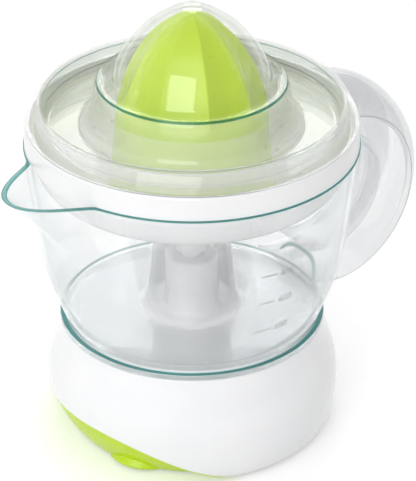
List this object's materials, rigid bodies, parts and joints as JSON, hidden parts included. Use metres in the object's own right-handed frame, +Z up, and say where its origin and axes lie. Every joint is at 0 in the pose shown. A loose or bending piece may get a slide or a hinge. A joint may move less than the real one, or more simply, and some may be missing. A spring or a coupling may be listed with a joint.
{
  "type": "citrus juicer",
  "caption": "Electric citrus press with a white motor base, clear jug with spout and handle, strainer, ribbed reamer and clear domed lid.",
  "frame": {"origin": "on the reamer's axis, level with the underside of the rubber feet", "axes": "+Z up along the reamer's axis, -X towards the spout, +X towards the handle, -Y towards the plain front of the base"},
  "size_m": [0.2203, 0.15, 0.2073],
  "materials": {
    "white_plastic": "gloss",
    "lime_plastic": "gloss",
    "clear_plastic": "polished",
    "nylon": "matte",
    "steel": "satin",
    "copper": "satin",
    "bronze": "satin",
    "rubber": "matte",
    "black_plastic": "matte"
  },
  "bodies": {
    "base": {"base_housing": "white_plastic", "accent_trim": "lime_plastic", "base_plate": "white_plastic", "foot_pads": "rubber", "base_screws": "steel", "cord_grommet": "rubber", "gear_deck": "nylon", "deck_screws": "steel", "spindle_bush": "bronze", "motor_stator": "steel", "shading_rings": "copper", "motor_coil": "copper", "coil_bobbin": "nylon", "motor_brackets": "steel", "motor_screws": "steel", "idler_pin": "steel", "press_switch": "black_plastic"},
    "press": {"thrust_cup": "nylon", "return_spring": "steel"},
    "spindle": {"drive_spindle": "white_plastic", "output_gear": "nylon", "spindle_clip": "steel"},
    "idler": {"idler_gear": "nylon"},
    "rotor": {"motor_rotor": "steel", "motor_shaft": "steel", "motor_pinion": "bronze"},
    "jug": {"jug": "clear_plastic", "jug_handle": "clear_plastic"},
    "strainer": {"strainer": "white_plastic"},
    "reamer": {"small_reamer": "lime_plastic", "large_reamer": "lime_plastic"},
    "lid": {"lid": "clear_plastic"}
  },
  "joints": [
    {"name": "jug_lift", "type": "slide", "parent": "base", "child": "jug", "axis": [0, 0, 1], "range_m": [0, 0.12]},
    {"name": "strainer_lift", "type": "slide", "parent": "jug", "child": "strainer", "axis": [0, 0, 1], "range_m": [0, 0.1]},
    {"name": "lid_lift", "type": "slide", "parent": "strainer", "child": "lid", "axis": [0, 0, 1], "range_m": [0, 0.12]},
    {"name": "reamer_spin", "type": "hinge", "parent": "strainer", "child": "reamer", "pos_m": [0, 0, 0.1195], "axis": [0, 0, 1], "continuous": true},
    {"name": "spindle_press", "type": "slide", "parent": "base", "child": "press", "axis": [0, 0, -1], "range_m": [0, 0.002], "stiffness_N_per_m": 1500, "springref_m": -0.002, "deforming": ["return_spring"]},
    {"name": "spindle_spin", "type": "hinge", "parent": "press", "child": "spindle", "pos_m": [0, 0, 0.07], "axis": [0, 0, 1], "continuous": true},
    {"name": "idler_spin", "type": "hinge", "parent": "base", "child": "idler", "pos_m": [0.02999, 0.01992, 0.0335], "axis": [0, 0, 1], "continuous": true},
    {"name": "rotor_spin", "type": "hinge", "parent": "base", "child": "rotor", "pos_m": [0.00776, 0.02898, 0.017], "axis": [0, 0, 1], "continuous": true}
  ],
  "couplings": [
    {"joint": "idler_spin", "follows": "rotor_spin", "ratio": -0.23077},
    {"joint": "spindle_spin", "follows": "rotor_spin", "ratio": 0.046154},
    {"joint": "reamer_spin", "follows": "rotor_spin", "ratio": 0.046154}
  ]
}
